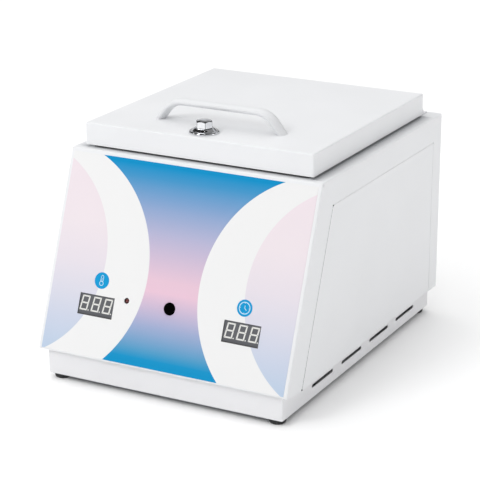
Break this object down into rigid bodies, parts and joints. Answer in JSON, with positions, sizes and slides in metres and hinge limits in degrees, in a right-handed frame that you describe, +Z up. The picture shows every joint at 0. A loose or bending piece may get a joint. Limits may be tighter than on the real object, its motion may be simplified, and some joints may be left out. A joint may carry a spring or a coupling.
{
  "type": "dry heat sterilizer",
  "caption": "Tabletop dry heat sterilizer: sloped front control panel, insulated chamber under a hinged lid with bow handle and latch knob, vented base on rubber feet.",
  "frame": {"origin": "on the floor under the middle of the object's bounding box", "axes": "+Z up; the sloped control panel faces -Y and the hinge is at +Y; +X is the right side seen from the front"},
  "size_m": [0.266, 0.3554, 0.2613],
  "materials": {
    "white_paint": "satin powder coat",
    "grey_paint": "satin powder coat",
    "zinc_sheet": "plain zinc coated",
    "stainless": "brushed",
    "chrome": "polished",
    "dark_steel": "dark, worn bright on the flats",
    "heater_steel": "matt, heat toned",
    "screw_steel": "zinc plated",
    "brass": "plain",
    "foot_rubber": "matt",
    "gasket_rubber": "matt silicone",
    "mineral_wool": "fibrous",
    "film": "printed, semi-gloss",
    "display_face": "dark grey face",
    "segment": "unlit diffuser",
    "red_lens": "clear tinted",
    "black_plastic": "fine grain",
    "board": "solder mask",
    "component_yellow": "wound core with tape",
    "component_blue": "moulded",
    "fuse_glass": "clear"
  },
  "bodies": {
    "cabinet": {"casing": "white_paint", "side_panel_left": "white_paint", "side_panel_right": "white_paint", "hinge_leaf_fixed": "white_paint", "base_frame": "grey_paint", "bottom_plate": "zinc_sheet", "insulation_case": "zinc_sheet", "heater_clamps": "zinc_sheet", "tray_rails": "zinc_sheet", "latch_striker": "zinc_sheet", "chamber": "stainless", "instrument_tray": "stainless", "hinge_pin": "stainless", "temperature_probe": "stainless", "heater": "heater_steel", "thermal_cutout": "heater_steel", "base_screws": "screw_steel", "foot_screws": "screw_steel", "board_screws": "screw_steel", "hinge_screws_fixed": "screw_steel", "striker_screws": "screw_steel", "inlet_screws": "screw_steel", "earth_stud": "screw_steel", "board_standoffs": "brass", "inlet_pins": "brass", "feet": "foot_rubber", "chamber_insulation": "mineral_wool", "front_film": "film", "temperature_display": "display_face", "time_display": "display_face", "temperature_segments": "segment", "time_segments": "segment", "status_lamp": "red_lens", "button_switch": "black_plastic", "lamp_sleeve": "black_plastic", "power_inlet": "black_plastic", "switch_frame": "black_plastic", "terminal_block": "black_plastic", "control_board": "board", "power_board": "board", "transformer": "component_yellow", "relay": "component_blue", "fuse": "fuse_glass"},
    "lid": {"lid_shell": "white_paint", "lid_liner": "stainless", "liner_screws": "screw_steel", "lid_insulation": "mineral_wool", "lid_gasket": "gasket_rubber", "handle": "white_paint", "handle_screws": "screw_steel", "knob_rosette": "chrome", "hinge_leaf_moving": "white_paint", "hinge_screws_moving": "screw_steel"},
    "latch": {"latch_knob": "dark_steel", "latch_cam": "stainless", "latch_nut": "stainless"},
    "button": {"button_cap": "black_plastic", "switch_plunger": "black_plastic"},
    "rocker": {"rocker": "black_plastic"}
  },
  "joints": [
    {"name": "lid_hinge", "type": "hinge", "parent": "cabinet", "child": "lid", "pos_m": [0, 0.15788, 0.2181], "axis": [-1, 0, 0], "range_deg": [0, 105]},
    {"name": "latch_turn", "type": "hinge", "parent": "lid", "child": "latch", "pos_m": [-0.0025, -0.08312, 0.2205], "axis": [0, 0, -1], "range_deg": [0, 90]},
    {"name": "button_press", "type": "slide", "parent": "cabinet", "child": "button", "axis": [0, 0.9343, -0.3564], "range_m": [0, 0.001], "stiffness_N_per_m": 1500},
    {"name": "rocker_tilt", "type": "hinge", "parent": "cabinet", "child": "rocker", "pos_m": [-0.07, 0.17068, 0.0535], "axis": [-1, 0, 0], "range_deg": [0, 14]}
  ]
}
